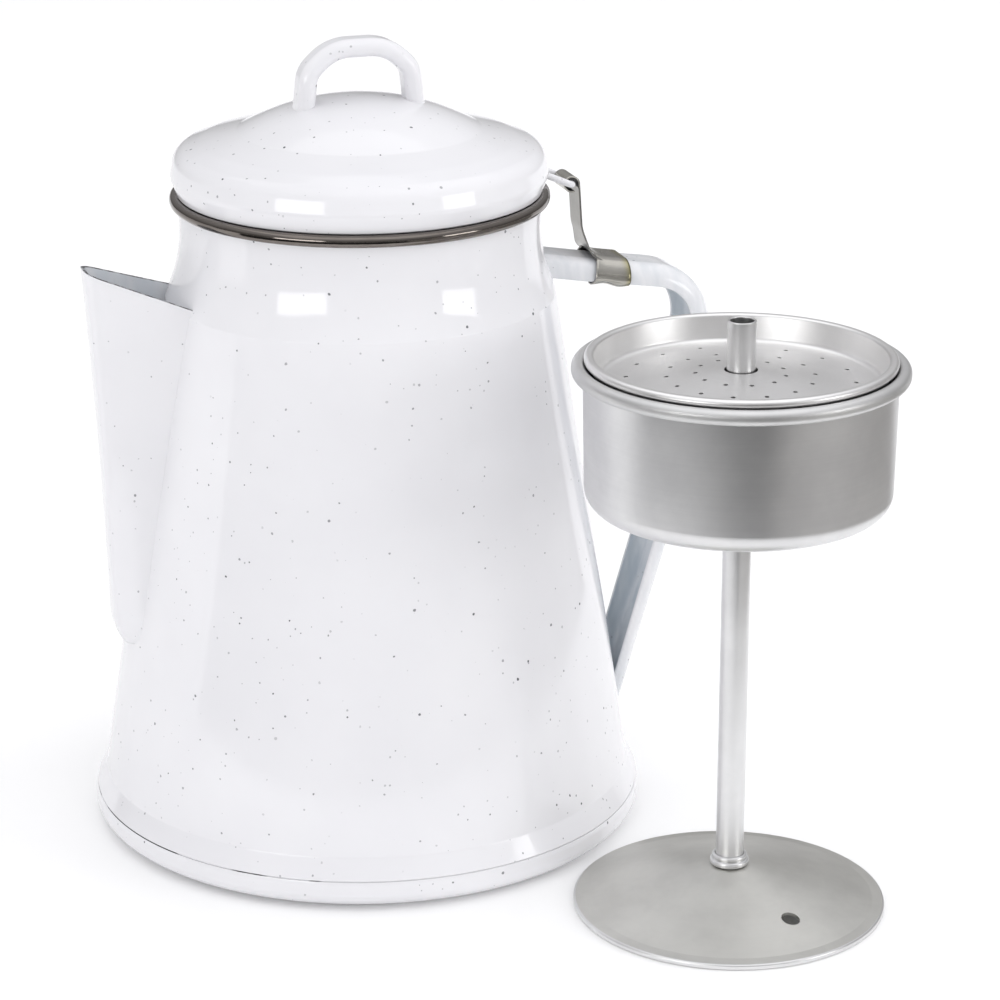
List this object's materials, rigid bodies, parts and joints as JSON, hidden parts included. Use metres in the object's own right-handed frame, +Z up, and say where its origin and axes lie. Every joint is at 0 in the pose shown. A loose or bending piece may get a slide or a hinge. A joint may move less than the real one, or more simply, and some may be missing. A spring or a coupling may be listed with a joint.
{
  "type": "camping coffee percolator",
  "caption": "Enamelled steel camping percolator with a gutter spout, channel handle and hinged lid, its aluminium pump and basket standing beside it.",
  "frame": {"origin": "centre of the pot's flat underside", "axes": "+Z up, +X from the pot's axis towards the handle, -X towards the spout"},
  "size_m": [0.2081, 0.2329, 0.237],
  "materials": {
    "enamel": "gloss",
    "bright_steel": "polished",
    "spring_steel": "brushed",
    "aluminium": "satin"
  },
  "bodies": {
    "pot": {"pot_body": "enamel", "bottom_pan": "enamel", "pan_floor": "enamel", "rim_band": "bright_steel", "spout": "enamel", "handle": "enamel", "hinge_clip": "spring_steel"},
    "lid": {"lid_shell": "enamel", "lid_grip": "enamel", "lid_hinge_wire": "enamel"},
    "pump": {"pump_stem": "aluminium", "pump_foot": "aluminium", "stem_collar": "aluminium", "basket_stop": "aluminium"},
    "basket_body": {"basket": "aluminium"},
    "spreader_body": {"spreader": "aluminium"}
  },
  "joints": [
    {"name": "lid_hinge", "type": "hinge", "parent": "pot", "child": "lid", "pos_m": [0.0637, 0, 0.1899], "axis": [0, 1, 0], "range_deg": [0, 180]},
    {"name": "pump_lift", "type": "slide", "parent": "pot", "child": "pump", "axis": [0, 0, 1], "range_m": [0, 0.2]},
    {"name": "basket_slide", "type": "slide", "parent": "pump", "child": "basket_body", "axis": [0, 0, 1], "range_m": [0, 0.07]},
    {"name": "spreader_lift", "type": "slide", "parent": "basket_body", "child": "spreader_body", "axis": [0, 0, 1], "range_m": [0, 0.05]}
  ]
}
